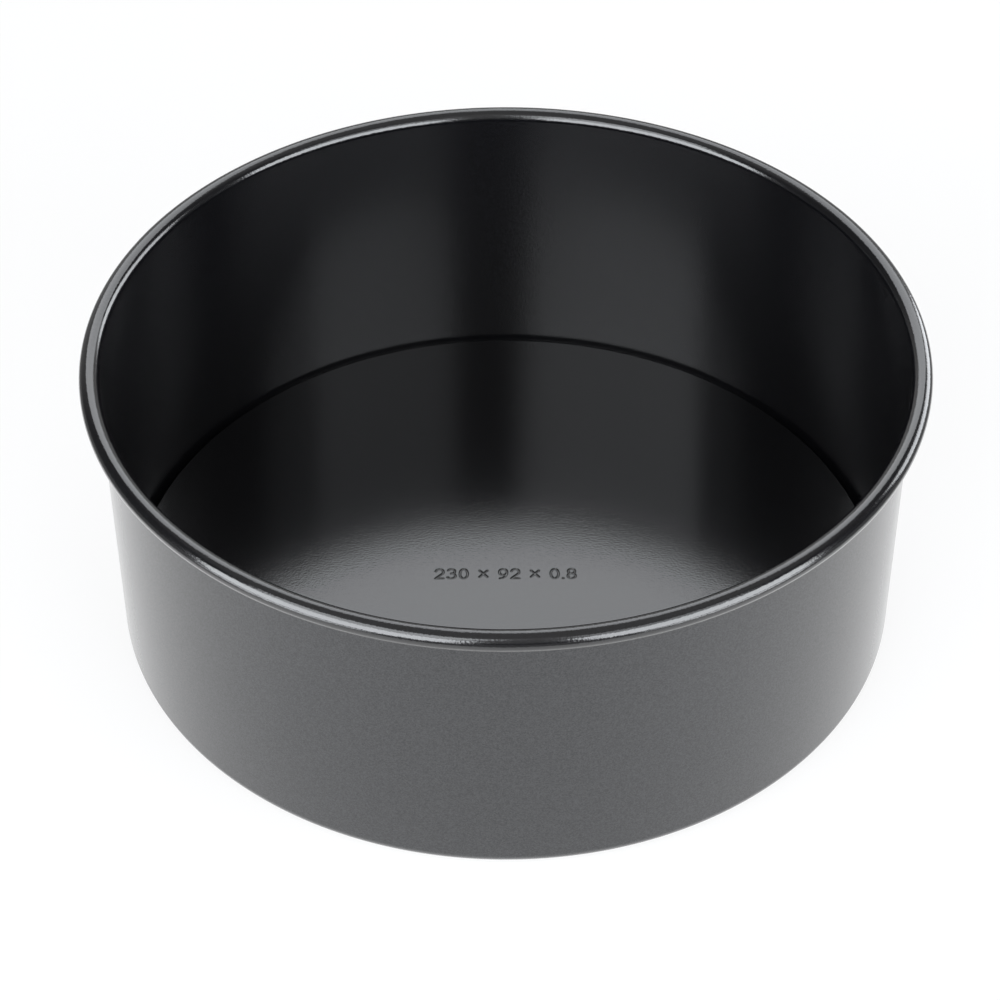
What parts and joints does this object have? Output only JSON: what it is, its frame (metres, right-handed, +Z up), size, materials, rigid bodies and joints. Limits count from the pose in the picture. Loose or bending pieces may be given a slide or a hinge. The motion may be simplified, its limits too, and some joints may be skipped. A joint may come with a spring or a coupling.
{
  "type": "baking pan",
  "caption": "Deep round baking pan of coated steel with a rolled rim, an almost straight side and a loose base disc that rests on a folded ledge and lifts out with the cake.",
  "frame": {"origin": "on the tin's axis, in the plane that the tin stands on", "axes": "+Z up along the tin's axis; the size mark on the base reads upright from -Y"},
  "size_m": [0.2418, 0.2418, 0.0922],
  "materials": {
    "side_coat": "very dark grey satin coat with fine flake outside, black gloss release coat inside and over the rim",
    "base_coat": "black gloss release coat with a fine orange peel, very dark grey satin coat underneath"
  },
  "bodies": {
    "tin": {"tin_side": "side_coat"},
    "base": {"loose_base": "base_coat"}
  },
  "joints": [
    {"name": "base_lift", "type": "slide", "parent": "tin", "child": "base", "axis": [0, 0, 1], "range_m": [0, 0.1]}
  ]
}
